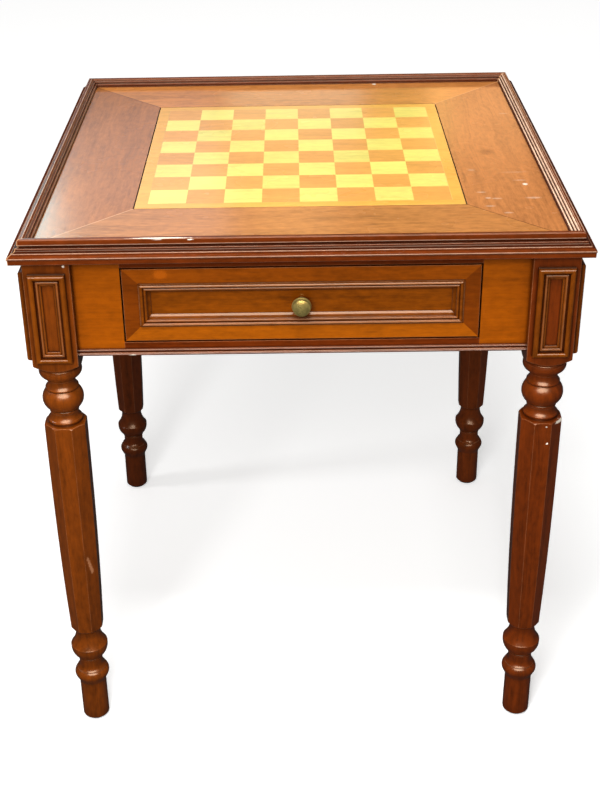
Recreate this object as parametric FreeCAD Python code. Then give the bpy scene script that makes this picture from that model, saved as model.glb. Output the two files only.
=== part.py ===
"""Gaming table: framed top with a lift-out chessboard panel, one drawer and four turned legs.

Millimetres. +Z is up, the drawer front faces -Y, and the origin is on the floor under the
middle of the table. Every sub-part is written to parts/ as one STEP file in its assembled place.
"""
import FreeCAD
import Part
import math
import os

# ---------------------------------------------------------------- driving dimensions
table_height = 762.0
top_side = 700.0              # over the nose of the edge moulding
top_underside = 734.0
field_top = 750.2             # the field lies below the raised lip
edge_moulding_width = 26.5    # nose to field

panel_side = 421.5
panel_gap = 1.5               # clearance all round the lift-out panel
square_side = 48.7
squares_per_side = 8
inlay_thickness = 1.0

ledge_inner = 198.0           # the ledges reach this far in under the panel
ledge_width = 28.0
ledge_thickness = 12.0

block_side = 57.0
leg_axis = 307.0              # legs stand at +-leg_axis in X and Y
block_shoulder = 582.5        # lowest point of the flat block faces
leg_foot = 3.0                # leg ends here, on its glide
octagon_top = 499.0
octagon_bottom = 150.0
octagon_flats_top = 52.3
octagon_thinning = 10.6         # flats at the bottom are this much less
octagon_swell = 2.7           # above 1 the taper starts slowly, as a gentle swell
octagon_rings = 6             # sections that the octagon is lofted through

frame_half_width = 22.8       # applied frames on the blocks
frame_bottom = 596.5
frame_top = 717.0

apron_face = 324.5            # front face of the apron, measured from the middle
apron_thickness = 20.0
apron_bottom = 600.2

drawer_half_width = 218.2
drawer_bottom = 619.8
drawer_top = 716.5
drawer_gap = 2.0
drawer_front_thickness = 18.0
drawer_moulding_inset = 19.2  # border left flat round the applied moulding
moulding_seat = 8.0           # part of the moulding that lies on the border
panel_recess = 7.0            # drawer panel below the border's face

box_half_width = 208.0
box_board = 12.0
box_bottom = 622.0
box_top = 700.0
box_back = 110.0
groove_height = 629.0         # underside of the drawer's bottom board
groove_depth = 5.0
bottom_board = 5.0

slide_clearance = 0.3
runner_inner = 192.0
runner_outer = 224.0
runner_bottom = 606.0
guide_top = 640.0
guide_clearance = 0.5
kicker_clearance = 0.5
kicker_height = 14.5
stop_length = 14.0

knob_height = 668.2
knob_screw_radius = 2.0
knob_screw_depth = 12.0
screw_head_radius = 4.2
screw_head_height = 2.4

corner_block_reach = 76.5     # along each apron from the inner corner
corner_block_bottom = 640.0
corner_block_top = 690.0
brace_screw_offset = 20.0     # from the leg block
brace_screw_radius = 2.0
brace_screw_grip = 12.0       # length in the apron
counterbore_radius = 5.0
counterbore_depth = 6.0       # at the screw's axis, below the block's sloping face
leg_bolt_radius = 3.0
leg_bolt_grip = 25.0          # length in the leg
leg_nut_flats = 10.0
leg_nut_height = 5.0
leg_bolt_tail = 8.0           # thread left showing, nut included

glide_radius = 15.0

# ---------------------------------------------------------------- derived dimensions
top_half = top_side / 2
field_half = top_half - edge_moulding_width
opening_half = panel_side / 2 + panel_gap
panel_half = panel_side / 2
board_half = square_side * squares_per_side / 2
block_half = block_side / 2
block_inner = leg_axis - block_half
block_outer = leg_axis + block_half
apron_back = apron_face - apron_thickness
drawer_middle = (drawer_top + drawer_bottom) / 2
drawer_half_height = (drawer_top - drawer_bottom) / 2
border_width = drawer_moulding_inset + moulding_seat
drawer_front_back = -apron_face + drawer_front_thickness

# ---------------------------------------------------------------- section outlines
# A point is (across, up) for a straight side to it, or (across, up, bulge) for an arc to it.
# Bulge is the arc's rise over half its chord. The outlines run anticlockwise, so a rounded
# stretch has a negative bulge and a hollow one a positive bulge.

# Edge moulding: inset from the nose, height below the lip.
edge_section = [
    (1.6, -28.0), (26.5, -28.0), (26.5, -11.8),
    (25.8, -10.7), (25.6, -9.9),
    (23.5, -6.9, -0.62), (23.3, -6.3),
    (21.1, -3.5, -0.62), (20.8, -2.9),
    (18.2, 0.0, -0.36), (14.5, 0.0),
    (12.6, -1.9, -0.41), (12.2, -7.0), (12.6, -7.8, -0.4), (13.3, -8.4),
    (13.3, -9.8), (10.2, -9.9), (9.7, -10.4, -0.4), (9.7, -11.3),
    (5.4, -14.8, 0.42), (5.2, -15.7),
    (1.5, -18.3, -0.12), (0.9, -18.6),
    (0.9, -21.4, -0.64), (0.9, -21.9),
    (1.1, -27.4),
]

# Frame on a leg block: inset from the frame's outer edge, height above the block's face.
block_frame_section = [
    (0.0, 0.0), (15.5, 0.0), (15.5, 1.0), (14.9, 2.2, -0.4), (13.5, 2.6), (12.8, 2.4),
    (8.6, 3.2, -0.8), (7.8, 3.2),
    (7.2, 4.4), (0.3, 4.2, -0.95),
]

# Drawer moulding: inset from its outer edge, height above the drawer front's border.
drawer_moulding_section = [
    (0.0, 0.0), (moulding_seat, 0.0), (moulding_seat, -panel_recess), (14.2, -panel_recess),
    (14.2, -6.3), (13.5, -5.7), (9.9, -0.2, 0.3), (9.5, 0.2),
    (6.4, 1.0, -0.75), (5.6, 0.7),
    (1.5, 1.3, -0.86), (1.2, 0.8), (0.0, 0.8),
]

# Reeded bead: distance out from the apron's face, height above the apron's lower edge.
bead_section = [
    (0.0, 0.0), (1.4, 0.0), (1.4, 5.2, -0.9), (1.1, 5.45), (1.2, 5.7),
    (0.9, 9.1, -0.9), (0.0, 9.2),
]

# Turned leg: radius, height. Block and octagon are cut from wider stock inside this outline.
leg_profile = [
    (16.2, leg_foot), (18.7, 5.4, -0.35), (18.7, 66.0),
    (19.4, 68.6, 0.1), (23.3, 76.8), (20.2, 89.0, -0.36), (20.4, 90.5),
    (16.5, 98.0, 0.23), (16.4, 107.6), (17.5, 108.3), (17.5, 110.4), (16.9, 111.0),
    (25.5, 130.8, -0.28), (25.0, 133.0, -0.41), (17.3, 152.0, 0.13), (17.3, 156.0),
    (19.4, 161.0, 0.16), (31.7, 172.2), (34.0, 490.0),
    (28.3, 495.8), (25.6, 498.3, -0.21), (21.2, octagon_top),
    (21.6, 501.0), (21.2, 504.7, -0.6), (17.5, 513.1, 0.18),
    (18.9, 514.5), (18.9, 517.2), (18.4, 517.9),
    (19.9, 547.3, -0.5), (21.0, 548.1), (20.8, 550.4, -0.38),
    (17.4, 557.5, 0.2), (17.5, 560.4), (19.4, 561.2), (19.4, 564.2),
    (26.8, 577.0, -0.5), (26.2, 579.6, -0.3), (28.5, block_shoulder, 0.2),
    (38.6, 589.0), (41.4, 598.0, -0.3), (41.4, top_underside),
]

# Knob: radius, distance out from the drawer panel. A slim neck carries a thick ring, and a deep
# groove parts the ring from the face, which is a low dome centred on the axis.
dome_radius = 9.8
dome_start = 22.8
dome_end = 25.2
dome_bulge = -math.tan(math.atan2(dome_end - dome_start, dome_radius) / 2)
knob_profile = [
    (0.0, 0.0), (5.4, 0.0), (5.0, 1.0), (4.6, 6.0),
    (8.0, 13.2, 0.2), (11.2, 14.2), (11.4, 17.4, -0.5), (9.4, 18.0), (9.2, 19.4),
    (11.0, 20.4), (11.0, 21.6), (dome_radius, dome_start, -0.36), (0.0, dome_end, dome_bulge),
]

glide_profile = [(13.6, 0.0), (glide_radius, 1.4, -0.41), (glide_radius, leg_foot)]


# ---------------------------------------------------------------- geometry helpers
def vector(x, y, z):
    return FreeCAD.Vector(x, y, z)


def box(x0, x1, y0, y1, z0, z1):
    """Rectangular board between two opposite corners."""
    return Part.makeBox(x1 - x0, y1 - y0, z1 - z0, vector(x0, y0, z0))


def arc_middle(start, end, bulge):
    """Point at the top of the arc from start to end."""
    along = (end[0] - start[0], end[1] - start[1])
    middle = ((start[0] + end[0]) / 2, (start[1] + end[1]) / 2)
    return (middle[0] - along[1] / 2 * bulge, middle[1] + along[0] / 2 * bulge)


def outline_face(points, to_space):
    """Flat face inside a closed outline; to_space turns (across, up) into a vector."""
    edges = []
    previous = points[-1]
    for point in points:
        start = to_space(previous[0], previous[1])
        end = to_space(point[0], point[1])
        if len(point) == 3:
            middle = to_space(*arc_middle(previous, point, point[2]))
            edges.append(Part.Arc(start, middle, end).toShape())
        else:
            edges.append(Part.makeLine(start, end))
        previous = point
    return Part.Face(Part.Wire(edges))


def turned(profile):
    """Solid of revolution about Z, closed along the axis above and below the profile."""
    outline = list(profile)
    if outline[0][0] > 0:
        outline.insert(0, (0.0, outline[0][1]))
    if outline[-1][0] > 0:
        outline.append((0.0, outline[-1][1]))
    face = outline_face(outline, lambda radius, height: vector(radius, 0, height))
    return face.revolve(vector(0, 0, 0), vector(0, 0, 1), 360)


def regular_prism(sides, flats_at_heights):
    """Prism about Z with a flat side facing -Y, through (flats, z) rings from the bottom up."""
    rings = []
    for flats, z in flats_at_heights:
        corner_radius = flats / 2 / math.cos(math.pi / sides)
        corners = []
        for index in range(sides + 1):
            angle = 2 * math.pi * (index + 0.5) / sides
            corners.append(vector(corner_radius * math.cos(angle), corner_radius * math.sin(angle), z))
        rings.append(Part.makePolygon(corners))
    return Part.makeLoft(rings, True, len(rings) == 2)


def straight_run(section, length):
    """Section drawn in the YZ plane (out along -Y, up along Z), run along X about the middle."""
    face = outline_face(section, lambda out, up: vector(-length / 2, -out, up))
    return face.extrude(vector(length, 0, 0))


def mitred_side(half_length, distance, section):
    """One side of a mitred frame lying flat: along X, outer edge at y = -distance."""
    face = outline_face(section, lambda inset, up: vector(-half_length, inset - distance, up))
    run = face.extrude(vector(2 * half_length, 0, 0))
    low = run.BoundBox.ZMin
    high = run.BoundBox.ZMax
    reach = run.BoundBox.YMax + distance
    plan = [
        vector(-half_length, -distance, low), vector(half_length, -distance, low),
        vector(half_length - reach, reach - distance, low),
        vector(reach - half_length, reach - distance, low),
        vector(-half_length, -distance, low),
    ]
    wedge = Part.Face(Part.makePolygon(plan)).extrude(vector(0, 0, high - low))
    return run.common(wedge).Solids[0]


def mitred_frame(half_x, half_y, section):
    """Four mitred sides of a frame lying flat, in the order front, right, back, left."""
    sides = []
    for turn in range(4):
        if turn % 2 == 0:
            side = mitred_side(half_x, half_y, section)
        else:
            side = mitred_side(half_y, half_x, section)
        side.rotate(vector(0, 0, 0), vector(0, 0, 1), 90 * turn)
        sides.append(side)
    return sides


def stood_up(shape, x, y, z):
    """Turn a shape drawn flat so that its top faces -Y, and move its middle to x, y, z."""
    standing = shape.copy()
    standing.rotate(vector(0, 0, 0), vector(1, 0, 0), 90)
    standing.translate(vector(x, y, z))
    return standing


def about_z(shape, degrees):
    copy = shape.copy()
    copy.rotate(vector(0, 0, 0), vector(0, 0, 1), degrees)
    return copy


def raised(section, height):
    """The same section with its zero moved up to a height."""
    lifted = []
    for point in section:
        lifted.append((point[0], point[1] + height) + tuple(point[2:]))
    return lifted


def rod(radius, start, direction, length):
    return Part.makeCylinder(radius, length, start, direction)


# ---------------------------------------------------------------- top
side_names = ("front", "right", "back", "left")
side_turns = {"front": 0, "right": 90, "back": 180, "left": 270}


def edge_mouldings():
    sides = mitred_frame(top_half, top_half, raised(edge_section, table_height))
    return {"edge_moulding_" + name: side for name, side in zip(side_names, sides)}


def field_boards():
    width = field_half - opening_half
    section = [(0, top_underside), (width, top_underside), (width, field_top), (0, field_top)]
    sides = mitred_frame(field_half, field_half, section)
    return {"field_board_" + name: side for name, side in zip(side_names, sides)}


def panel_ledges():
    """Front and back ledges run through, left and right ones fit between them."""
    outer = ledge_inner + ledge_width
    low = top_underside - ledge_thickness
    long_ledge = box(-outer, outer, -outer, -ledge_inner, low, top_underside)
    short_ledge = box(-ledge_inner, ledge_inner, -outer, -ledge_inner, low, top_underside)
    ledges = {}
    for name in side_names:
        ledge = long_ledge if name in ("front", "back") else short_ledge
        ledges["panel_ledge_" + name] = about_z(ledge, side_turns[name])
    return ledges


# ---------------------------------------------------------------- game panel
def game_panel_core():
    return box(-panel_half, panel_half, -panel_half, panel_half,
               top_underside, field_top - inlay_thickness)


def game_panel_border():
    width = panel_half - board_half
    low = field_top - inlay_thickness
    section = [(0, low), (width, low), (width, field_top), (0, field_top)]
    return Part.makeCompound(mitred_frame(panel_half, panel_half, section))


def inlaid_squares(light):
    """The near left corner square is light."""
    squares = []
    for column in range(squares_per_side):
        for row in range(squares_per_side):
            if ((column + row) % 2 == 0) == light:
                x = column * square_side - board_half
                y = row * square_side - board_half
                squares.append(box(x, x + square_side, y, y + square_side,
                                   field_top - inlay_thickness, field_top))
    return Part.makeCompound(squares)


# ---------------------------------------------------------------- legs
def octagon_flats(z):
    down = (octagon_top - z) / (octagon_top - octagon_bottom)
    return octagon_flats_top - octagon_thinning * down ** octagon_swell


def leg_shape():
    """Turned outline cut into square block and tapered octagon stock, with its axis on Z."""
    block = box(-block_half, block_half, -block_half, block_half, block_shoulder, top_underside)
    upper_turning = rod(32.0, vector(0, 0, octagon_top), vector(0, 0, 1), block_shoulder - octagon_top)
    step = (octagon_top - octagon_bottom) / octagon_rings
    heights = [octagon_bottom + step * ring for ring in range(octagon_rings + 1)]
    octagon = regular_prism(8, [(octagon_flats(z), z) for z in heights])
    lower_turning = rod(30.0, vector(0, 0, 0), vector(0, 0, 1), octagon_bottom)
    stock = block.fuse([upper_turning, octagon, lower_turning])
    return turned(leg_profile).common(stock).Solids[0]


def block_frame_pair():
    """The two applied frames of the front left block: one facing -Y and one facing -X."""
    half_height = (frame_top - frame_bottom) / 2
    middle = (frame_top + frame_bottom) / 2
    sides = mitred_frame(frame_half_width, half_height, block_frame_section)
    facing_front = [stood_up(side, -leg_axis, -block_outer, middle) for side in sides]
    at_right_corner = [stood_up(side, leg_axis, -block_outer, middle) for side in sides]
    facing_left = [about_z(side, 270) for side in at_right_corner]
    return Part.makeCompound(facing_front + facing_left)


def legs_and_trim():
    """Each corner is the front left one turned about the middle of the table."""
    corner_turns = {"front_left": 0, "front_right": 90, "back_right": 180, "back_left": 270}
    leg = leg_shape()
    leg.translate(vector(-leg_axis, -leg_axis, 0))
    frames = block_frame_pair()
    parts = {}
    for corner, degrees in corner_turns.items():
        parts["leg_" + corner] = about_z(leg.cut(leg_bolt_shank(-1, -1)), degrees)
        parts["block_frames_" + corner] = about_z(frames, degrees)
    return parts


def foot_glides():
    glides = []
    for x in (-leg_axis, leg_axis):
        for y in (-leg_axis, leg_axis):
            glide = turned(glide_profile)
            glide.translate(vector(x, y, 0))
            glides.append(glide)
    return Part.makeCompound(glides)


# ---------------------------------------------------------------- apron
def apron_board():
    return box(-block_inner, block_inner, -apron_face, -apron_back, apron_bottom, top_underside)


def closed_aprons():
    screws = brace_screw_set(True)
    aprons = {}
    for name in ("right", "back", "left"):
        aprons["apron_" + name] = about_z(apron_board(), side_turns[name]).cut(screws)
    return aprons


def front_rails_and_stiles():
    """The front of the apron is built up round the drawer opening."""
    opening = drawer_half_width + drawer_gap
    low = drawer_bottom - drawer_gap
    high = drawer_top + drawer_gap
    stile = box(-block_inner, -opening, -apron_face, -apron_back, apron_bottom, top_underside)
    screws = brace_screw_set(True)
    return {
        "front_top_rail": box(-opening, opening, -apron_face, -apron_back, high, top_underside),
        "front_bottom_rail": box(-opening, opening, -apron_face, -apron_back, apron_bottom, low),
        "front_stile_left": stile.cut(screws),
        "front_stile_right": stile.mirror(vector(0, 0, 0), vector(1, 0, 0)).cut(screws),
    }


def apron_beads():
    bead = straight_run(bead_section, 2 * block_inner)
    bead.translate(vector(0, -apron_face, apron_bottom))
    return {"apron_bead_" + name: about_z(bead, side_turns[name]) for name in side_names}


# ---------------------------------------------------------------- corner braces
def corner_plan(corner_x, corner_y):
    """Plan of a corner block: it fits round the leg block's inner corner."""
    reach = apron_back - corner_block_reach
    points = [(block_inner, apron_back), (reach, apron_back), (apron_back, reach),
              (apron_back, block_inner), (block_inner, block_inner), (block_inner, apron_back)]
    return [vector(corner_x * x, corner_y * y, corner_block_bottom) for x, y in points]


def brace_screws(for_holes):
    """Two screws in one corner block, one into each apron, or the stepped holes they need."""
    middle = (corner_block_bottom + corner_block_top) / 2
    x = block_inner - brace_screw_offset
    slope_y = 2 * apron_back - corner_block_reach - x
    seat = slope_y + counterbore_depth
    outwards = vector(0, 1, 0)
    shank = rod(brace_screw_radius, vector(x, seat, middle), outwards, apron_back + brace_screw_grip - seat)
    if for_holes:
        wide = rod(counterbore_radius, vector(x, slope_y - counterbore_depth, middle), outwards,
                   2 * counterbore_depth)
    else:
        wide = rod(screw_head_radius, vector(x, seat - screw_head_height, middle), outwards,
                   screw_head_height)
    screw = shank.fuse(wide)
    return [screw, screw.mirror(vector(0, 0, 0), vector(1, -1, 0))]


def brace_screw_set(for_holes):
    """Screws of all four corners as one compound."""
    corner = Part.makeCompound(brace_screws(for_holes))
    return Part.makeCompound([about_z(corner, 90 * turn) for turn in range(4)])


def leg_bolt_shank(corner_x, corner_y, tail=0.0):
    """Bolt along the diagonal, from the corner block's sloping face into the leg."""
    middle = (corner_block_bottom + corner_block_top) / 2
    slope = apron_back - corner_block_reach / 2 - tail / math.sqrt(2)
    length = (block_inner - slope) * math.sqrt(2) + leg_bolt_grip
    return rod(leg_bolt_radius, vector(corner_x * slope, corner_y * slope, middle),
               vector(corner_x, corner_y, 0), length)


def leg_bolts():
    """Each bolt carries a hexagon nut that draws the leg against the corner block."""
    middle = (corner_block_bottom + corner_block_top) / 2
    slope = apron_back - corner_block_reach / 2 - leg_nut_height / math.sqrt(2)
    nut = regular_prism(6, [(leg_nut_flats, 0), (leg_nut_flats, leg_nut_height)])
    nut.rotate(vector(0, 0, 0), vector(1, 0, 0), -90)
    nut.rotate(vector(0, 0, 0), vector(0, 0, 1), -45)
    nut.translate(vector(slope, slope, middle))
    bolt = leg_bolt_shank(1, 1, leg_bolt_tail).fuse(nut)
    return Part.makeCompound([about_z(bolt, 90 * turn) for turn in range(4)])


def corner_blocks():
    blocks = []
    for corner_x, corner_y in ((-1, -1), (1, -1), (1, 1), (-1, 1)):
        face = Part.Face(Part.makePolygon(corner_plan(corner_x, corner_y)))
        block = face.extrude(vector(0, 0, corner_block_top - corner_block_bottom))
        block = block.cut([brace_screw_set(True), leg_bolt_shank(corner_x, corner_y)])
        blocks.append(block.Solids[0])
    return Part.makeCompound(blocks)


# ---------------------------------------------------------------- drawer
def knob_screw_hole():
    """Clear path of the knob screw through the drawer front, from the box inside to the knob."""
    inside = drawer_front_back + box_board
    return rod(knob_screw_radius, vector(0, inside, knob_height), vector(0, -1, 0),
               inside + apron_face - panel_recess + knob_screw_depth)


def drawer_border():
    section = [(0, -drawer_front_thickness), (border_width, -drawer_front_thickness),
               (border_width, 0), (0, 0)]
    sides = mitred_frame(drawer_half_width, drawer_half_height, section)
    names = ("drawer_border_bottom", "drawer_border_right", "drawer_border_top", "drawer_border_left")
    return {name: stood_up(side, 0, -apron_face, drawer_middle) for name, side in zip(names, sides)}


def drawer_panel():
    half_x = drawer_half_width - border_width
    half_z = drawer_half_height - border_width
    panel = box(-half_x, half_x, panel_recess - apron_face, drawer_front_back,
                drawer_middle - half_z, drawer_middle + half_z)
    return panel.cut(knob_screw_hole())


def drawer_moulding():
    sides = mitred_frame(drawer_half_width - drawer_moulding_inset,
                         drawer_half_height - drawer_moulding_inset, drawer_moulding_section)
    return Part.makeCompound([stood_up(side, 0, -apron_face, drawer_middle) for side in sides])


def drawer_bottom_board():
    half = box_half_width - box_board + groove_depth
    front = drawer_front_back + box_board - groove_depth
    return box(-half, half, front, box_back, groove_height, groove_height + bottom_board)


def drawer_box():
    """Inner front and back stand between the sides; the bottom runs in grooves under the back."""
    inner = box_half_width - box_board
    front = drawer_front_back
    bottom = drawer_bottom_board()
    inner_front = box(-inner, inner, front, front + box_board, box_bottom, box_top)
    side = box(-box_half_width, -inner, front, box_back, box_bottom, box_top).cut(bottom)
    return {
        "drawer_box_front": inner_front.cut(bottom).cut(knob_screw_hole()),
        "drawer_side_left": side,
        "drawer_side_right": side.mirror(vector(0, 0, 0), vector(1, 0, 0)),
        "drawer_back": box(-inner, inner, box_back - box_board, box_back,
                           groove_height + bottom_board, box_top),
        "drawer_bottom": bottom,
    }


def knob():
    body = turned(knob_profile)
    standing = stood_up(body, 0, panel_recess - apron_face, knob_height)
    return standing.cut(knob_screw_hole())


def knob_screw():
    inside = drawer_front_back + box_board
    head = rod(screw_head_radius, vector(0, inside + screw_head_height, knob_height),
               vector(0, -1, 0), screw_head_height)
    return knob_screw_hole().fuse(head)


# ---------------------------------------------------------------- drawer guides
def runner():
    """Left runner: a base under the drawer side with a guide lip beside it."""
    base_top = box_bottom - slide_clearance
    lip = box_half_width + guide_clearance
    base = box(-runner_outer, -runner_inner, -apron_back, apron_back, runner_bottom, base_top)
    guide = box(-runner_outer, -lip, -apron_back, apron_back, runner_bottom, guide_top)
    return base.fuse(guide).removeSplitter()


def kicker():
    """Left kicker: keeps the drawer level when it is pulled out."""
    low = box_top + kicker_clearance
    return box(-runner_outer, -runner_inner, -apron_back, apron_back, low, low + kicker_height)


def drawer_guides():
    mirrored = (vector(0, 0, 0), vector(1, 0, 0))
    return {
        "drawer_runner_left": runner(),
        "drawer_runner_right": runner().mirror(*mirrored),
        "drawer_kicker_left": kicker(),
        "drawer_kicker_right": kicker().mirror(*mirrored),
    }


def drawer_stop_blocks():
    """Blocks on the runners behind the closed drawer."""
    start = box_back + slide_clearance
    stop = box(-box_half_width, -runner_inner, start, start + stop_length,
               box_bottom - slide_clearance, guide_top)
    return Part.makeCompound([stop, stop.mirror(vector(0, 0, 0), vector(1, 0, 0))])


# ---------------------------------------------------------------- assembly
def all_parts():
    parts = {}
    for group in (edge_mouldings, field_boards, panel_ledges, legs_and_trim, closed_aprons,
                  front_rails_and_stiles, apron_beads, drawer_border, drawer_box, drawer_guides):
        parts.update(group())
    parts["game_panel_core"] = game_panel_core()
    parts["game_panel_border"] = game_panel_border()
    parts["squares_light"] = inlaid_squares(True)
    parts["squares_dark"] = inlaid_squares(False)
    parts["foot_glides"] = foot_glides()
    parts["corner_blocks"] = corner_blocks()
    parts["corner_block_screws"] = brace_screw_set(False)
    parts["leg_bolts"] = leg_bolts()
    parts["drawer_panel"] = drawer_panel()
    parts["drawer_moulding"] = drawer_moulding()
    parts["knob"] = knob()
    parts["knob_screw"] = knob_screw()
    parts["drawer_stop_blocks"] = drawer_stop_blocks()
    return parts


def main():
    os.makedirs("parts", exist_ok=True)
    for name, shape in sorted(all_parts().items()):
        shape.exportStep("parts/" + name + ".step")
        print(name, "solids", len(shape.Solids), "volume", round(shape.Volume), "valid", shape.isValid())


main()
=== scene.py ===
"""Looks of the gaming table: stained and lacquered wood, antique brass, studio light and camera."""
import bpy
import math
from mathutils import Matrix, Vector


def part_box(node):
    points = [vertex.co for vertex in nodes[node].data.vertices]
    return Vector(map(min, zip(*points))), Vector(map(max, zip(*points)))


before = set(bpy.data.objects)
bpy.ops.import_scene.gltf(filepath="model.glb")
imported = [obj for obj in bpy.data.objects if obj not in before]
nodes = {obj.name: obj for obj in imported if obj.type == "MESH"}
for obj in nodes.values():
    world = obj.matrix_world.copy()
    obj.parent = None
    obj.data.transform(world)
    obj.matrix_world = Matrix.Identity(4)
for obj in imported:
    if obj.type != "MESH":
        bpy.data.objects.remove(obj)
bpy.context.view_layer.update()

SIDES = {"front": "x", "back": "x", "left": "y", "right": "y"}
CORNERS = ("front_left", "front_right", "back_left", "back_right")
BOARD_LOW, BOARD_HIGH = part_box("squares_light")
SQUARE = (BOARD_HIGH.x - BOARD_LOW.x) / 8
FIELD_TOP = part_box("field_board_front")[1].z


# ---------------------------------------------------------------- node tree helpers
def feed(tree, receiver, inputs):
    """Sets a node's inputs, each to a value or from a socket to link from."""
    for key, value in inputs.items():
        socket = receiver.inputs[key]
        if isinstance(value, bpy.types.NodeSocket):
            tree.links.new(value, socket)
        else:
            socket.default_value = value


def node(tree, kind, inputs=None, **settings):
    """New shader node with these inputs and settings."""
    made = tree.nodes.new(kind)
    for key, value in settings.items():
        setattr(made, key, value)
    feed(tree, made, inputs or {})
    return made


def new_material(name):
    """A material, its node tree, its Principled shader, and the object's own coordinates in metres."""
    material = bpy.data.materials.new(name)
    material.use_nodes = True
    tree = material.node_tree
    coordinates = node(tree, "ShaderNodeTexCoord").outputs["Object"]
    return material, tree, tree.nodes["Principled BSDF"], coordinates


def maths(tree, operation, a, b=0.0):
    return node(tree, "ShaderNodeMath", {0: a, 1: b}, operation=operation).outputs[0]


def vector_maths(tree, operation, a, b=(0.0, 0.0, 0.0)):
    return node(tree, "ShaderNodeVectorMath", {0: a, 1: b}, operation=operation).outputs[0]


def length_of(tree, vector):
    return node(tree, "ShaderNodeVectorMath", {0: vector}, operation="LENGTH").outputs["Value"]


def ramp(tree, factor, stops):
    """Colour ramp through (position, colour) stops, colours linear RGB."""
    made = node(tree, "ShaderNodeValToRGB", {"Fac": factor})
    elements = made.color_ramp.elements
    while len(elements) > 1:
        elements.remove(elements[0])
    elements[0].position = stops[0][0]
    elements[0].color = (*stops[0][1], 1.0)
    for position, colour in stops[1:]:
        element = elements.new(position)
        element.color = (*colour, 1.0)
    return made.outputs["Color"]


def remap(tree, value, low, high, to_low=0.0, to_high=1.0):
    """Clamped straight-line map of low..high onto to_low..to_high."""
    return node(tree, "ShaderNodeMapRange",
                {"Value": value, "From Min": low, "From Max": high,
                 "To Min": to_low, "To Max": to_high}).outputs["Result"]


def mix(tree, factor, a, b):
    """Colour a turned into colour b by factor; a colour is a socket or linear RGB."""
    ends = [(*colour, 1.0) if isinstance(colour, tuple) else colour for colour in (a, b)]
    return node(tree, "ShaderNodeMix", {0: factor, 6: ends[0], 7: ends[1]}, data_type="RGBA").outputs[2]


def noise(tree, vector, stretch, detail=2.0, roughness=0.5):
    """Noise with stretch = cycles per metre along each axis of the vector."""
    scaled = vector_maths(tree, "MULTIPLY", vector, stretch)
    return node(tree, "ShaderNodeTexNoise",
                {"Vector": scaled, "Scale": 1.0, "Detail": detail, "Roughness": roughness}).outputs["Fac"]


def linear(red, green, blue):
    """sRGB 0-255 to linear RGB."""
    values = []
    for channel in (red, green, blue):
        value = channel / 255
        values.append(value / 12.92 if value <= 0.04045 else ((value + 0.055) / 1.055) ** 2.4)
    return tuple(values)


def times(colour, factor):
    return tuple(min(1.0, factor * channel) for channel in colour)


# ---------------------------------------------------------------- wood
AXIS_ORDER = {"x": (0, 1, 2), "y": (1, 0, 2), "z": (2, 0, 1)}
BARE_WOOD = linear(254, 240, 220)
# Rubbed-through lacquer; on arrises and crests it also paints highlights.
WORN_LACQUER_AND_HIGHLIGHT = linear(216, 150, 104)
# Dark glazing colour, also used as painted shade in hollows and grooves.
GLAZE_AND_SHADE = linear(58, 16, 2)
DEEP_GLAZE_AND_SHADE = times(GLAZE_AND_SHADE, 0.6)
PALE_JOINT = linear(236, 178, 126)
GOLDEN_SHEEN = (1.0, 0.70, 0.36, 1.0)

# Cycles per metre along the grain and across it.
FIGURE = (3.3, 21.0, 21.0)
STREAKS = (6.0, 150.0, 150.0)
FINE_LINES = (32.0, 800.0, 800.0)
MOTTLE = (70.0, 160.0, 160.0)
PORES = (120.0, 2200.0, 2200.0)
FIGURE_SHARE, STREAK_SHARE, FINE_SHARE, MOTTLE_SHARE = 0.26, 0.38, 0.14, 0.34
STREAK_BEND = 0.07            # metres by which the figure bends the streaks
DARK_SWING = 0.50             # how far the grain falls below the tone at contrast 1
PALE_SWING = 0.42             # how far it rises above it

NEAR_REACH = 0.006            # metres looked round for tight grooves
WIDE_REACH = 0.03             # and for wider hollows
ARRIS_RADIUS = 0.0015
RELIEF_DEPTH = 0.00004
NARROW_STRIPE = 1.2           # mm; narrower stripes have a crest instead of an even middle
POLISHED, SATIN, BARE = 0.24, 0.34, 0.6         # roughness of the wood under its lacquer

# Cycles per metre of the unevenness of rubbing, painted highlights and painted shade, of chips' edges and of
# dull and bright patches.
RAGGED = (60.0, 60.0, 60.0)
CHIP_EDGES = (900.0, 900.0, 900.0)
SMEARS = (9.0, 9.0, 9.0)


def grain_vector(tree, coordinates, grain, seed):
    """Object coordinates turned so that X runs along the grain, shifted to another part of the log."""
    apart = node(tree, "ShaderNodeSeparateXYZ", {0: coordinates}).outputs
    order = AXIS_ORDER[grain]
    turned = node(tree, "ShaderNodeCombineXYZ", {0: apart[order[0]], 1: apart[order[1]], 2: apart[order[2]]})
    shift = (seed * 1.37 % 7.0, seed * 2.11 % 5.0, seed * 0.73 % 3.0)
    return vector_maths(tree, "ADD", turned.outputs[0], shift)


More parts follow.
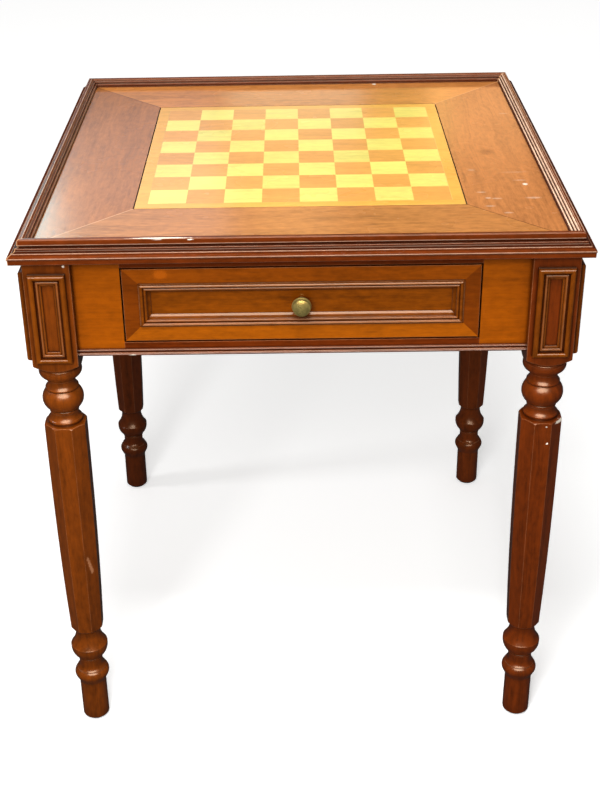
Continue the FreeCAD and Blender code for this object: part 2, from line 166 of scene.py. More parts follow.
def wood_colour(tree, along, tone, contrast, shift):
    """Figure, growth streaks, fine lines, mottled stain and pores, around one middle tone."""
    figure = noise(tree, along, FIGURE, 3.0, 0.55)
    bend = node(tree, "ShaderNodeCombineXYZ", {1: maths(tree, "MULTIPLY", figure, STREAK_BEND)}).outputs[0]
    streak = noise(tree, vector_maths(tree, "ADD", along, bend), STREAKS, 4.0, 0.62)
    fine = noise(tree, along, FINE_LINES, 2.0, 0.6)
    mottle = noise(tree, along, MOTTLE, 3.0, 0.6)
    value = maths(tree, "MULTIPLY", figure, FIGURE_SHARE)
    for part, share in ((streak, STREAK_SHARE), (fine, FINE_SHARE), (mottle, MOTTLE_SHARE)):
        value = maths(tree, "ADD", value, maths(tree, "MULTIPLY", part, share))
    if shift is not None:
        value = maths(tree, "ADD", value, shift)
    value = remap(tree, value, 0.40, 0.72)
    darkest = times(tone, 1.0 - DARK_SWING * contrast)
    palest = times(tone, 1.0 + PALE_SWING * contrast)
    colour = ramp(tree, value, [(0.0, darkest), (0.5, tone), (1.0, palest)])
    pores = noise(tree, along, PORES, 1.0)
    open_pores = remap(tree, pores, 0.60, 0.72, 0.0, 0.35 * contrast)
    return mix(tree, open_pores, colour, times(tone, 0.35)), fine, pores


def square_by_square(tree, coordinates, along):
    """Grain moved to another place for each board square, and a small change of tone with it."""
    cell = vector_maths(tree, "FLOOR", vector_maths(tree, "DIVIDE", coordinates, (SQUARE, SQUARE, 1.0)))
    chance = node(tree, "ShaderNodeTexWhiteNoise", {"Vector": cell}, noise_dimensions="3D").outputs
    moved = vector_maths(tree, "MULTIPLY", chance["Color"], (9.0, 9.0, 9.0))
    shift = remap(tree, chance["Value"], 0.0, 1.0, -0.06, 0.06)
    return vector_maths(tree, "ADD", along, moved), shift


def open_sky(tree, reach):
    """1 on open faces, falling towards 0 where other faces stand close by."""
    return node(tree, "ShaderNodeAmbientOcclusion", {"Distance": reach}, samples=8).outputs["AO"]


def joint_distance(tree, coordinates, mitre):
    """Distance from the mitre lines of a mitred frame."""
    away = vector_maths(tree, "SUBTRACT", coordinates, mitre["centre"])
    apart = node(tree, "ShaderNodeSeparateXYZ", {0: vector_maths(tree, "ABSOLUTE", away)}).outputs
    across = apart["XYZ".index(mitre["across"][0])]
    for axis in mitre["across"][1:]:
        across = maths(tree, "MINIMUM", across, apart["XYZ".index(axis)])
    difference = maths(tree, "SUBTRACT", across, apart["XYZ".index(mitre["along"])])
    return maths(tree, "ABSOLUTE", maths(tree, "SUBTRACT", difference, mitre["offset"]))


def spots(tree, coordinates, ragged, marks):
    """Mask of small damaged places, each ((x, y, z), (half size x, y, z), strength)."""
    total = None
    for place, size, strength in marks:
        offset = vector_maths(tree, "DIVIDE", vector_maths(tree, "SUBTRACT", coordinates, place), size)
        edge = maths(tree, "ADD", length_of(tree, offset), ragged)
        inside = remap(tree, edge, 1.25, 0.75, 0.0, strength)
        total = inside if total is None else maths(tree, "MAXIMUM", total, inside)
    return total


def bands(tree, measure, stripes, soft=0.25):
    """Mask of stripes along a moulding, each (from, to, strength) in mm of the section's measure."""
    first = stripes[0][0] - 1.0
    span = stripes[-1][1] + 1.0 - first
    stops = [(0.0, (0.0, 0.0, 0.0))]
    for low, high, strength in stripes:
        heights = [(low - soft, 0.0), (low, strength), (high, strength), (high + soft, 0.0)]
        if high - low < NARROW_STRIPE:
            heights[1:3] = [((low + high) / 2, strength)]
        for place, value in heights:
            stops.append(((place - first) / span, (value, value, value)))
    return ramp(tree, remap(tree, measure, first, first + span), stops)


def paint_shade_and_glaze(tree, colour, near_sky, glaze, shade):
    """Painted shade with dark glazing in the wider hollows and, deeper, in tight grooves."""
    if shade:
        wide_sky = open_sky(tree, WIDE_REACH)
        colour = mix(tree, remap(tree, wide_sky, 0.95, 0.45, 0.0, shade), colour, GLAZE_AND_SHADE)
    if glaze:
        colour = mix(tree, remap(tree, near_sky, 0.86, 0.45, 0.0, glaze), colour, DEEP_GLAZE_AND_SHADE)
    return colour


def find_arrises(tree, coordinates, near_sky, mitre):
    """Mask of the outer edges, and a normal rounded over them; mitre joints are left out of both."""
    rounded = node(tree, "ShaderNodeBevel", {"Radius": ARRIS_RADIUS}, samples=6).outputs["Normal"]
    flat = node(tree, "ShaderNodeNewGeometry").outputs["Normal"]
    agreement = node(tree, "ShaderNodeVectorMath", {0: rounded, 1: flat}, operation="DOT_PRODUCT")
    edge = remap(tree, agreement.outputs["Value"], 0.985, 0.84)
    edge = maths(tree, "MULTIPLY", edge, remap(tree, near_sky, 0.62, 0.86))
    if mitre:
        clear = remap(tree, joint_distance(tree, coordinates, mitre), 0.0008, 0.0022)
        edge = maths(tree, "MULTIPLY", edge, clear)
        turn = vector_maths(tree, "SUBTRACT", rounded, flat)
        cleared = node(tree, "ShaderNodeVectorMath", {0: turn, "Scale": clear}, operation="SCALE")
        rounded = vector_maths(tree, "ADD", flat, cleared.outputs[0])
    return edge, rounded


def draw_joints(tree, colour, coordinates, mitre, line):
    """Mitre joints of the top: pale on the diagonal where X and Y have the same sign, dark on the other."""
    joint = remap(tree, joint_distance(tree, coordinates, mitre), 0.0012, 0.0004, 0.0, line)
    apart = node(tree, "ShaderNodeSeparateXYZ", {0: coordinates}).outputs
    same_sign = maths(tree, "GREATER_THAN", maths(tree, "MULTIPLY", apart[0], apart[1]), 0.0)
    return mix(tree, joint, colour, mix(tree, same_sign, GLAZE_AND_SHADE, PALE_JOINT))


def add_marks(tree, colour, coordinates, marks):
    """Knocks and scuffs, given as (tint, places) pairs."""
    around = noise(tree, coordinates, CHIP_EDGES)
    around = maths(tree, "MULTIPLY", maths(tree, "SUBTRACT", around, 0.5), 1.8)
    for tint, places in marks:
        colour = mix(tree, spots(tree, coordinates, around, places), colour, tint)
    return colour


def wood(name, grain, tone, seed, contrast=1.0, glaze=0.8, shade=0.45, wear=0.6, worn=WORN_LACQUER_AND_HIGHLIGHT,
         gloss=SATIN, coat=1.0, coat_roughness=0.18, specular=0.05, mitre=None, line=0.0, marks=(),
         squares=False, measure=None, hollows=(), crests=()):
    """Stained and lacquered wood, with glazing and painted shade in hollows, rubbed arrises that also carry
    painted highlights, and a few knocks.

    grain is the axis that the grain runs along, and seed says where in the log the piece comes from.
    The groove strength darkens tight grooves with glazing and painted shade, shade paints shade into the
    wider hollows, and the arris strength puts rubbed-through colour, which also paints a highlight, on the
    arrises.
    mitre tells where a frame's mitres run: no wear there, and joint lines of the strength line.
    measure runs across a moulding's section; hollows and crests are stripes on it: dark ones of painted shade
    with glazing, pale ones of painted highlight on rubbed crests.
    gloss is the roughness of the stained wood, coat the weight of the lacquer over it.
    """
    material, tree, shader, coordinates = new_material(name)
    along = grain_vector(tree, coordinates, grain, seed)
    shift = None
    if squares:
        along, shift = square_by_square(tree, coordinates, along)
    colour, fine, pores = wood_colour(tree, along, tone, contrast, shift)

    ragged = noise(tree, coordinates, RAGGED, 3.0, 0.7)
    near_sky = open_sky(tree, NEAR_REACH)
    # Painted shade, with glazing, darkens hollows and tight grooves by how closed in they are.
    colour = paint_shade_and_glaze(tree, colour, near_sky, glaze, shade)
    across = measure(tree, coordinates) if measure else None
    # Dark stripes in the grooves: painted shade, with glazing.
    if hollows:
        uneven = remap(tree, ragged, 0.30, 0.60, 0.8, 1.0)
        dark = maths(tree, "MULTIPLY", bands(tree, across, hollows), uneven)
        colour = mix(tree, dark, colour, DEEP_GLAZE_AND_SHADE)
    normal = None
    # Rubbed-through colour on the arrises, which also paints their highlights.
    if wear:
        edge, normal = find_arrises(tree, coordinates, near_sky, mitre)
        arris_rub_and_highlight = maths(tree, "MULTIPLY", edge, remap(tree, ragged, 0.30, 0.60, 0.45, 1.0))
        colour = mix(tree, maths(tree, "MULTIPLY", arris_rub_and_highlight, wear), colour, worn)
    # Pale stripes on the crests: painted highlights, with some rubbing.
    if crests:
        uneven = remap(tree, ragged, 0.30, 0.62, 0.6, 1.0)
        pale = maths(tree, "MULTIPLY", bands(tree, across, crests, 0.15), uneven)
        colour = mix(tree, pale, colour, worn)
    if line:
        colour = draw_joints(tree, colour, coordinates, mitre, line)
    if marks:
        colour = add_marks(tree, colour, coordinates, marks)

    smear = noise(tree, coordinates, SMEARS, 3.0, 0.6)
    roughness = remap(tree, smear, 0.3, 0.7, gloss - 0.05, gloss + 0.07)
    relief = maths(tree, "SUBTRACT", maths(tree, "MULTIPLY", fine, 0.6), maths(tree, "MULTIPLY", pores, 0.8))
    bump = node(tree, "ShaderNodeBump", {"Strength": 0.5, "Distance": RELIEF_DEPTH, "Height": relief})
    if normal is not None:
        tree.links.new(normal, bump.inputs["Normal"])
    if coat:
        coat = maths(tree, "MULTIPLY", remap(tree, near_sky, 0.40, 0.80, 0.1, 1.0), coat)
    feed(tree, shader, {"Base Color": colour, "Roughness": roughness, "Normal": bump.outputs[0],
                        "Specular IOR Level": specular, "Specular Tint": GOLDEN_SHEEN,
                        "Coat Weight": coat, "Coat Roughness": coat_roughness})
    return material


def dress(name, material):
    """The CAD node shows this material on all its faces."""
    slots = nodes[name].data.materials
    slots.clear()
    slots.append(material)


def dress_wood(name, grain, tone, **look):
    """The CAD node gets a wood of its own, named after it, with the marks listed for it."""
    dress(name, wood(name, grain, tone, marks=MARKS.get(name, ()), **look))


def dress_plain(name, grain, seed):
    """Unfinished inside wood."""
    dress_wood(name, grain, PLAIN_WOOD, seed=seed, glaze=0.0, shade=0.2, wear=0.0, gloss=BARE, coat=0.0)


# ---------------------------------------------------------------- tones
EDGE = linear(97, 39, 8)
FIELD_TONES = {"front": linear(183, 119, 62), "back": linear(206, 131, 64),
               "left": linear(172, 106, 51), "right": linear(185, 117, 64)}
APRON = linear(150, 72, 1)
# The rails are a darker copy of the stiles' wood: painted shade under the top's overhang and above the bead.
RAIL_IN_SHADE = linear(98, 37, 3)
# The border's top is darker than its bottom as painted shade under the top's overhang; the sides are darker
# still.
DRAWER_TONES_WITH_SHADE = {"top": linear(139, 65, 2), "bottom": linear(156, 78, 3),
                "left": linear(114, 50, 2), "right": linear(114, 50, 2)}
DRAWER_PANEL = linear(130, 63, 2)
TRIM = linear(112, 54, 5)
# Tones differ from leg to leg, partly as painted shade where a leg stands in less light.
LEG_TONES_WITH_SHADE = {"front_left": linear(112, 50, 3), "front_right": linear(104, 40, 3),
        "back_left": linear(80, 30, 3), "back_right": linear(100, 40, 4)}
BEAD = linear(96, 42, 12)
LIGHT_SQUARE = linear(240, 222, 114)
DARK_SQUARE = linear(229, 160, 78)
BORDER = linear(237, 172, 75)
LEDGE = linear(124, 62, 20)
PLAIN_WOOD = linear(206, 170, 122)
# Rubbed-through colours, which on arrises and crests also paint highlights.
WORN_EDGE_AND_HIGHLIGHT = linear(244, 204, 172)
WORN_BEAD_AND_HIGHLIGHT = linear(214, 184, 168)
WORN_BORDER_AND_HIGHLIGHT = linear(255, 226, 160)
ROUND_STAIN = linear(190, 92, 8)


# ---------------------------------------------------------------- mitred frames
ROUND_TABLE = {"across": "X", "along": "Y", "centre": (0.0, 0.0, 0.0), "offset": 0.0}


def drawer_mitre():
    """Mitre lines of the drawer front's border and moulding."""
    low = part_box("drawer_border_bottom")[0]
    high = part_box("drawer_border_top")[1]
    return {"across": "X", "along": "Z", "centre": ((low.x + high.x) / 2, 0.0, (low.z + high.z) / 2),
            "offset": (high.x - low.x) / 2 - (high.z - low.z) / 2}


def block_frame_extent(corner):
    """Centre, half width and half height of the small frames on a leg's block, whose axis is the leg's."""
    low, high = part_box("block_frames_" + corner)
    leg_low, leg_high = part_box("leg_" + corner)
    axis = (leg_low + leg_high) / 2
    half_width = min(abs(low.x - axis.x), abs(high.x - axis.x))
    return (axis.x, axis.y, (low.z + high.z) / 2), half_width, (high.z - low.z) / 2


def block_frame_mitre(corner):
    """Mitre lines of the small frames on a leg's block."""
    centre, half_width, half_height = block_frame_extent(corner)
    return {"across": "XY", "along": "Z", "centre": centre, "offset": half_width - half_height}


# ---------------------------------------------------------------- measures across the mouldings, in mm
EDGE_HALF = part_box("edge_moulding_right")[1].x
LIP_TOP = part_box("edge_moulding_front")[1].z
LIP_CREST = 0.0145            # inset of the outer end of the lip's flat top
APRON_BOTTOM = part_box("apron_bead_front")[0].z
UPRIGHT_SHIFT = 40.0          # mm added to the drawer moulding's measure on its two uprights
FAR_BEHIND = 10.0             # metres


def in_mm(tree, metres):
    return maths(tree, "MULTIPLY", metres, 1000.0)


def edge_measure(tree, coordinates):
    """Outside: depth below the lip. From the lip's flat top inwards: minus the inset past its crest."""
    apart = node(tree, "ShaderNodeSeparateXYZ", {0: vector_maths(tree, "ABSOLUTE", coordinates)}).outputs
    inset = maths(tree, "SUBTRACT", EDGE_HALF, maths(tree, "MAXIMUM", apart[0], apart[1]))
    depth = maths(tree, "SUBTRACT", LIP_TOP, apart[2])
    past_crest = maths(tree, "SUBTRACT", LIP_CREST, inset)
    inside = maths(tree, "LESS_THAN", past_crest, 0.0)
    outer = maths(tree, "MULTIPLY", depth, maths(tree, "SUBTRACT", 1.0, inside))
    inner = maths(tree, "MULTIPLY", past_crest, inside)
    return in_mm(tree, maths(tree, "ADD", outer, inner))


def bead_measure(tree, coordinates):
    """Height above the apron's lower edge."""
    apart = node(tree, "ShaderNodeSeparateXYZ", {0: coordinates}).outputs
    return in_mm(tree, maths(tree, "SUBTRACT", apart[2], APRON_BOTTOM))


def frame_measure(centre, half_width, half_height, upright_shift=0.0):
    """Inset from the outer edge of a standing mitred frame, with upright_shift mm more on its uprights."""
    def measure(tree, coordinates):
        away = vector_maths(tree, "ABSOLUTE", vector_maths(tree, "SUBTRACT", coordinates, centre))
        apart = node(tree, "ShaderNodeSeparateXYZ", {0: away}).outputs
        sideways = maths(tree, "SUBTRACT", half_width, maths(tree, "MINIMUM", apart[0], apart[1]))
        upwards = maths(tree, "SUBTRACT", half_height, apart[2])
        inset = in_mm(tree, maths(tree, "MINIMUM", sideways, upwards))
        on_upright = maths(tree, "LESS_THAN", sideways, upwards)
        return maths(tree, "ADD", inset, maths(tree, "MULTIPLY", on_upright, upright_shift))
    return measure


def drawer_moulding_measure():
    """The frame's centre is put far behind the front, so that only X and Z count."""
    low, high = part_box("drawer_moulding")
    centre = ((low.x + high.x) / 2, low.y + FAR_BEHIND, (low.z + high.z) / 2)
    return frame_measure(centre, (high.x - low.x) / 2, (high.z - low.z) / 2, UPRIGHT_SHIFT)


# Stripes on those measures, each (from, to, strength): hollows hold painted shade with glazing in the
# grooves, crests painted highlights on rubbed rounds.
EDGE_HOLLOWS = ((-12.0, -11.2, 0.9), (-9.2, -8.6, 0.95), (-6.8, -6.2, 0.95), (8.2, 10.0, 0.95),
                (11.6, 14.7, 0.95), (15.9, 16.8, 0.6), (21.6, 22.3, 0.5))
OUTER_CRESTS = ((6.4, 7.4, 0.42), (10.4, 11.0, 0.22), (14.9, 15.5, 0.42), (19.2, 20.2, 0.5))
# Painted highlights on the inner crests: strongest on the right side, weaker on the left and front, weakest
# at the back, after how the light falls.
INNER_CRESTS = {
    "front": ((-10.7, -9.8, 0.45), (-8.3, -7.3, 0.45), (-5.7, -4.9, 0.45), (-0.5, 0.8, 0.10)),
    "back": ((-10.7, -9.8, 0.25), (-8.3, -7.3, 0.25), (-5.7, -4.9, 0.25), (-0.5, 0.8, 0.15)),
    "left": ((-11.4, -10.6, 0.50), (-8.8, -8.1, 0.40), (-6.4, -5.6, 0.40), (-3.8, -2.8, 0.80),
             (-0.3, 0.5, 0.30)),
    "right": ((-10.9, -9.6, 1.0), (-8.5, -7.1, 0.9), (-5.9, -4.6, 0.9), (-3.4, -2.4, 0.70),
              (-0.4, 0.6, 0.60)),
}
BEAD_HOLLOWS = ((5.1, 5.8, 0.9),)
BEAD_CRESTS = ((2.2, 3.2, 0.75), (7.2, 7.8, 0.5))
BLOCK_HOLLOWS = ((0.0, 0.3, 0.6), (7.0, 8.5, 0.9), (12.6, 13.5, 0.6), (15.2, 15.6, 0.7))
BLOCK_CRESTS = ((9.8, 11.4, 0.14),)
# The uprights get lighter painted shade than the level members.
LEVEL_HOLLOWS = ((0.0, 0.9, 0.85), (5.5, 6.5, 0.9), (9.4, 10.0, 0.8), (13.8, 14.3, 0.6))
UPRIGHT_HOLLOWS = ((0.0, 0.9, 0.6), (5.5, 6.5, 0.8), (9.4, 10.0, 0.7), (13.8, 14.3, 0.6))
DRAWER_HOLLOWS = LEVEL_HOLLOWS + tuple((UPRIGHT_SHIFT + low, UPRIGHT_SHIFT + high, strength)
                                       for low, high, strength in UPRIGHT_HOLLOWS)
DRAWER_CRESTS = ((2.6, 4.0, 0.55), (7.4, 8.4, 0.3))


# ---------------------------------------------------------------- knocks, chips and stains
# Each is (place, half size, strength), with place and half size in metres.
LIP_CHIPS = (((-0.166, -0.3365, 0.7620), (0.034, 0.0016, 0.0005), 1.0),
             ((-0.170, -0.338, 0.7605), (0.006, 0.002, 0.0006), 0.5),
             ((-0.131, -0.338, 0.7600), (0.0035, 0.002, 0.0007), 0.9))
FIELD_SCUFFS = (((0.2955, -0.1427, FIELD_TOP), (0.0030, 0.0036, 0.002), 0.95),
                ((0.232, -0.087, FIELD_TOP), (0.0040, 0.0030, 0.002), 0.18),
                ((0.235, -0.170, FIELD_TOP), (0.0060, 0.0020, 0.002), 0.24),
                ((0.241, -0.191, FIELD_TOP), (0.0035, 0.0025, 0.002), 0.27),
                ((0.252, -0.193, FIELD_TOP), (0.0060, 0.0024, 0.002), 0.20),
                ((0.299, -0.192, FIELD_TOP), (0.0090, 0.0030, 0.002), 0.22),
                ((0.260, -0.242, FIELD_TOP), (0.0050, 0.0024, 0.002), 0.20),
                ((0.240, -0.219, FIELD_TOP), (0.0060, 0.0022, 0.002), 0.21),
                ((0.288, -0.097, FIELD_TOP), (0.0150, 0.0014, 0.002), 0.15),
                ((0.291, -0.128, FIELD_TOP), (0.0080, 0.0016, 0.002), 0.18),
                ((0.309, 0.157, FIELD_TOP), (0.0060, 0.0020, 0.002), 0.18))
FIELD_KNOT = (((0.262, -0.015, FIELD_TOP), (0.0090, 0.0110, 0.002), 0.35),
              ((0.264, -0.013, FIELD_TOP), (0.0030, 0.0040, 0.002), 0.5))
FIELD_SPECK = (((0.124, 0.319, FIELD_TOP), (0.0030, 0.0035, 0.002), 0.9),)
SCRATCH_BOTTOM = Vector((-0.2895, -0.3245, 0.268))
SCRATCH_RUN = Vector((-0.0040, 0.0, 0.022))
SCRATCH_STEPS = 5
SCRATCH = tuple((SCRATCH_BOTTOM + SCRATCH_RUN * step / (SCRATCH_STEPS - 1), (0.0016, 0.006, 0.0042), 0.5)
                for step in range(SCRATCH_STEPS))
BLOCK_CHIP = (((-0.2854, -0.3355, 0.7262), (0.0014, 0.002, 0.0016), 0.8),)
OCTAGON_CHIPS = (((0.3290, -0.3215, 0.4950), (0.0075, 0.0075, 0.0024), 1.0),
                 ((0.3113, -0.3330, 0.4928), (0.0011, 0.003, 0.0010), 0.6),
                 ((0.3138, -0.3330, 0.4681), (0.0013, 0.003, 0.0014), 1.0))
ROUND_MARK = (((-0.171, -0.3245, 0.709), (0.0080, 0.004, 0.0060), 0.55),)
BEAD_CHIP = (((-0.2108, -0.3260, 0.6014), (0.0045, 0.003, 0.0016), 0.9),)

# The marks on each piece that has some, as (tint, places) pairs.
MARKS = {
    "edge_moulding_front": ((BARE_WOOD, LIP_CHIPS),),
    "field_board_right": ((GLAZE_AND_SHADE, FIELD_KNOT), (BARE_WOOD, FIELD_SCUFFS)),
    "field_board_back": ((BARE_WOOD, FIELD_SPECK),),
    "leg_front_left": ((WORN_LACQUER_AND_HIGHLIGHT, SCRATCH), (BARE_WOOD, BLOCK_CHIP)),
    "leg_front_right": ((BARE_WOOD, OCTAGON_CHIPS),),
    "apron_bead_front": ((BARE_WOOD, BEAD_CHIP),),
    "drawer_border_top": ((ROUND_STAIN, ROUND_MARK),),
}


# ---------------------------------------------------------------- the table's pieces
def dress_top():
    for index, (side, grain) in enumerate(SIDES.items()):
        dress_wood("edge_moulding_" + side, grain, EDGE, seed=index + 1.3, wear=0.3, worn=WORN_EDGE_AND_HIGHLIGHT,
                   coat=0.35, mitre=ROUND_TABLE, line=0.5, measure=edge_measure, hollows=EDGE_HOLLOWS,
                   crests=INNER_CRESTS[side] + OUTER_CRESTS)
        dress_wood("field_board_" + side, grain, FIELD_TONES[side], seed=index + 5.1, contrast=0.8, glaze=0.6,
                   shade=0.25, wear=0.35, gloss=POLISHED, mitre=ROUND_TABLE, line=0.75)
        dress_wood("panel_ledge_" + side, grain, LEDGE, seed=index + 9.2, glaze=0.0, shade=0.0, wear=0.0,
                   gloss=BARE, coat=0.0)


def dress_game_panel():
    for name, tone, seed in (("squares_light", LIGHT_SQUARE, 2.2), ("squares_dark", DARK_SQUARE, 3.4)):
        dress_wood(name, "x", tone, seed=seed, contrast=0.35, glaze=0.0, shade=0.0, wear=0.0, gloss=POLISHED,
                   squares=True)
    dress_wood("game_panel_border", "x", BORDER, seed=4.6, contrast=0.35, glaze=0.5, shade=0.0, wear=0.5,
               worn=WORN_BORDER_AND_HIGHLIGHT, gloss=POLISHED)
    dress_wood("game_panel_core", "x", FIELD_TONES["back"], seed=6.6, wear=0.0, coat=0.1)


def dress_legs():
    for index, corner in enumerate(CORNERS):
        dress_wood("leg_" + corner, "z", LEG_TONES_WITH_SHADE[corner], seed=index + 12.7, wear=0.45, specular=0.3,
                   coat_roughness=0.24)
        dress_wood("block_frames_" + corner, "z", TRIM, seed=index + 17.9, wear=0.3,
                   mitre=block_frame_mitre(corner), measure=frame_measure(*block_frame_extent(corner)),
                   hollows=BLOCK_HOLLOWS, crests=BLOCK_CRESTS)


def dress_apron():
    for index, (side, grain) in enumerate(SIDES.items()):
        dress_wood("apron_bead_" + side, grain, BEAD, seed=index + 21.0, wear=0.4, worn=WORN_BEAD_AND_HIGHLIGHT,
                   mitre=ROUND_TABLE, measure=bead_measure, hollows=BEAD_HOLLOWS, crests=BEAD_CRESTS)
        if side != "front":
            dress_wood("apron_" + side, grain, APRON, seed=index + 24.5, wear=0.0)
    for index, name in enumerate(("front_stile_left", "front_stile_right")):
        dress_wood(name, "x", APRON, seed=index + 29.0, contrast=0.6, wear=0.0)
    for index, name in enumerate(("front_top_rail", "front_bottom_rail")):
        dress_wood(name, "x", RAIL_IN_SHADE, seed=index + 32.0, wear=0.4)


def dress_drawer():
    mitre = drawer_mitre()
    for side, tone in DRAWER_TONES_WITH_SHADE.items():
        dress_wood("drawer_border_" + side, "x", tone, seed=40.0, contrast=0.7, wear=0.5, mitre=mitre)
    dress_wood("drawer_panel", "x", DRAWER_PANEL, seed=45.0, wear=0.0)
    dress_wood("drawer_moulding", "x", TRIM, seed=46.0, wear=0.4, mitre=mitre,
               measure=drawer_moulding_measure(), hollows=DRAWER_HOLLOWS, crests=DRAWER_CRESTS)


def dress_inside():
    for index, name in enumerate(("drawer_box_front", "drawer_back", "drawer_bottom", "drawer_stop_blocks",
                                  "corner_blocks")):
        dress_plain(name, "x", index + 48.0)
    for index, name in enumerate(("drawer_side_left", "drawer_side_right", "drawer_runner_left",
                                  "drawer_runner_right", "drawer_kicker_left", "drawer_kicker_right")):
        dress_plain(name, "y", index + 55.0)


# ---------------------------------------------------------------- metal and plastic
TARNISH = (220.0, 220.0, 220.0)                 # cycles per metre
SCUFFS = (260.0, 260.0, 260.0)


def metal(name, colour, roughness, metallic=1.0, patina=0.0):
    """Tarnished metal, with dark patina in its grooves."""
    material, tree, shader, coordinates = new_material(name)
    tarnish = noise(tree, coordinates, TARNISH, 4.0, 0.6)
    tint = ramp(tree, tarnish, [(0.35, times(colour, 0.62)), (0.62, colour)])
    groove = remap(tree, open_sky(tree, 0.004), 0.85, 0.4, 0.0, patina)
    tint = mix(tree, groove, tint, times(colour, 0.08))
    rough = remap(tree, tarnish, 0.3, 0.7, roughness + 0.1, roughness - 0.04)
    feed(tree, shader, {"Base Color": tint, "Roughness": rough, "Metallic": metallic})
    return material


def dress_metal():
    dress("knob", metal("antique_brass", linear(186, 166, 98), 0.30, 0.7, 0.95))
    steel = metal("zinc_steel", linear(176, 178, 180), 0.38)
    for name in ("knob_screw", "corner_block_screws", "leg_bolts"):
        dress(name, steel)


def dress_glides():
    """Scuffed dark plastic."""
    material, tree, shader, coordinates = new_material("glide_plastic")
    scuffs = noise(tree, coordinates, SCUFFS, 4.0, 0.7)
    tint = ramp(tree, scuffs, [(0.3, linear(20, 18, 17)), (0.7, linear(48, 44, 42))])
    feed(tree, shader, {"Base Color": tint, "Roughness": remap(tree, scuffs, 0.3, 0.7, 0.5, 0.75)})
    dress("foot_glides", material)


# ---------------------------------------------------------------- studio
TOP_CENTRE = (0.0, 0.0, 0.7)
FLOOR_SIZE = 14.0
CAMERA_PLACE = (-0.0079, -1.8253, 1.3839)
CAMERA_TURN = (-0.67, -28.38, -1.05)            # yaw, pitch and roll in degrees
CAMERA_SHIFT = (0.0226, -0.0350)
SENSOR_WIDTH, FOCAL_LENGTH = 36.0, 61.06        # mm


def add_floor():
    """Pale paper that glows a little, more so towards the back, and doesn't light the table."""
    bpy.ops.mesh.primitive_plane_add(size=FLOOR_SIZE, location=(0, 0, 0))
    floor = bpy.context.object
    floor.name = "studio_floor"
    floor.visible_glossy = False
    floor.visible_diffuse = False
    material, tree, shader, coordinates = new_material("floor_paper")
    depth = node(tree, "ShaderNodeSeparateXYZ", {0: coordinates}).outputs[1]
    glow = remap(tree, depth, -0.5, 2.5, 0.32, 0.68)
    feed(tree, shader, {"Base Color": (0.90, 0.90, 0.90, 1.0), "Roughness": 0.85,
                        "Emission Color": (1.0, 1.0, 1.0, 1.0), "Emission Strength": glow})
    floor.data.materials.append(material)


def add_area(name, place, target, size, power, colour=(1.0, 1.0, 1.0), diffuse=True, glossy=True,
             shape="RECTANGLE"):
    """Area light of that size in metres and power in watts, turned towards the target."""
    light = bpy.data.lights.new(name, "AREA")
    light.shape = shape
    light.size, light.size_y = size
    light.energy = power
    light.color = colour
    holder = bpy.data.objects.new(name, light)
    bpy.context.scene.collection.objects.link(holder)
    holder.location = place
    holder.rotation_euler = (Vector(target) - Vector(place)).to_track_quat("-Z", "Y").to_euler()
    holder.visible_camera = False
    holder.visible_diffuse = diffuse
    holder.visible_glossy = glossy


def add_gleam(name, place, size, power, colour, shape="RECTANGLE"):
    """Light that shows only as a reflection, aimed at the middle of the top."""
    add_area(name, place, TOP_CENTRE, size, power, colour, diffuse=False, shape=shape)


def add_world():
    """Even pale light all round, held back in reflections so that they stay deep, and a white backdrop."""
    world = bpy.data.worlds.new("studio")
    bpy.context.scene.world = world
    world.use_nodes = True
    tree = world.node_tree
    ray = node(tree, "ShaderNodeLightPath").outputs
    lighting = remap(tree, ray["Is Glossy Ray"], 0.0, 1.0, 0.26, 0.03)
    seen = maths(tree, "MULTIPLY", ray["Is Camera Ray"], 0.97)
    feed(tree, tree.nodes["Background"], {"Color": (1.0, 0.985, 0.96, 1.0),
                                          "Strength": maths(tree, "MAXIMUM", lighting, seen)})


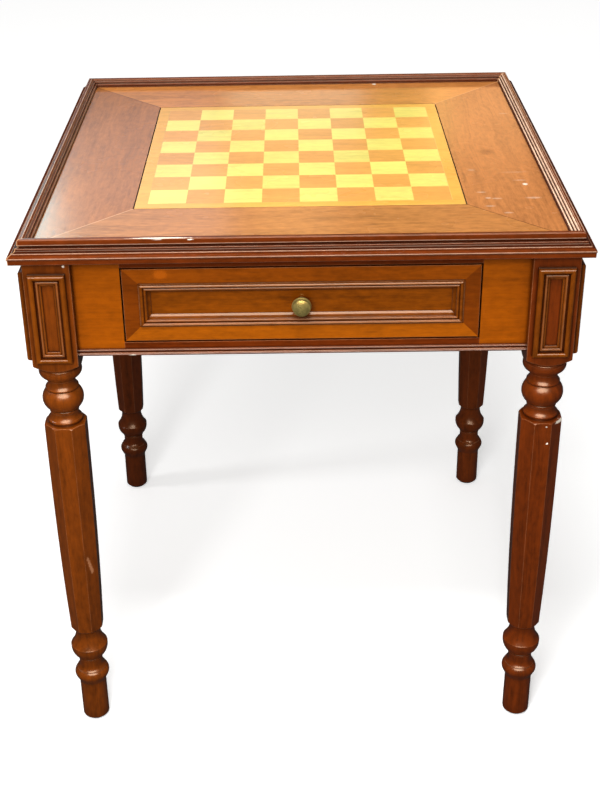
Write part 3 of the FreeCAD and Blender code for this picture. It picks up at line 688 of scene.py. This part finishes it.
def add_lights():
    """Soft light from above and in front, and the gleams of a room on the lacquer."""
    add_area("ceiling", (-0.1, -1.1, 2.6), TOP_CENTRE, (0.8, 0.45), 42.0, glossy=False)
    add_gleam("ceiling_glow", (0.0, -1.75, 2.05), (2.2, 1.3), 78.0, (1.0, 0.80, 0.60), "ELLIPSE")
    add_area("side", (-2.2, 0.0, 2.4), TOP_CENTRE, (0.35, 0.35), 14.0)
    add_area("fill", (-0.5, -2.4, 1.8), (0.0, 0.0, 0.5), (1.1, 1.1), 67.0, glossy=False)
    add_gleam("window", (-0.75, 3.0, 2.05), (1.0, 0.8), 2.0, (0.80, 0.92, 1.12))
    add_gleam("window_left", (-1.02, 3.0, 2.0), (0.18, 0.75), 1.9, (0.42, 0.95, 1.0))
    add_gleam("lamp_far", (0.42, 3.0, 1.71), (0.3, 0.2), 0.20, (1.0, 0.95, 0.20))
    add_gleam("window_low", (0.0, 3.0, 1.56), (0.5, 0.3), 0.7, (1.0, 0.92, 0.66))
    add_gleam("lamp_middle", (0.0, 3.0, 2.10), (0.3, 0.3), 0.4, (1.0, 0.62, 0.28))
    add_gleam("lamp_right", (0.68, 3.0, 1.64), (0.4, 0.3), 0.9, (1.0, 0.50, 0.20))


def add_camera():
    """Camera 1.8 m in front of the table's middle and 0.62 m above its top, looking down at it."""
    yaw, pitch, roll = (math.radians(angle) for angle in CAMERA_TURN)
    forward = Vector((math.sin(yaw) * math.cos(pitch), math.cos(yaw) * math.cos(pitch), math.sin(pitch)))
    level = Vector((math.cos(yaw), -math.sin(yaw), 0.0))
    upright = level.cross(forward)
    right = math.cos(roll) * level + math.sin(roll) * upright
    up = math.cos(roll) * upright - math.sin(roll) * level
    data = bpy.data.cameras.new("studio_camera")
    data.sensor_width = SENSOR_WIDTH
    data.lens = FOCAL_LENGTH
    data.shift_x, data.shift_y = CAMERA_SHIFT
    camera = bpy.data.objects.new("studio_camera", data)
    bpy.context.scene.collection.objects.link(camera)
    turn = Matrix((right, up, -forward)).transposed().to_4x4()
    camera.matrix_world = Matrix.Translation(CAMERA_PLACE) @ turn
    bpy.context.scene.camera = camera


dress_top()
dress_game_panel()
dress_legs()
dress_apron()
dress_drawer()
dress_inside()
dress_metal()
dress_glides()
add_floor()
add_world()
add_lights()
add_camera()
bpy.context.scene.view_settings.view_transform = "Standard"
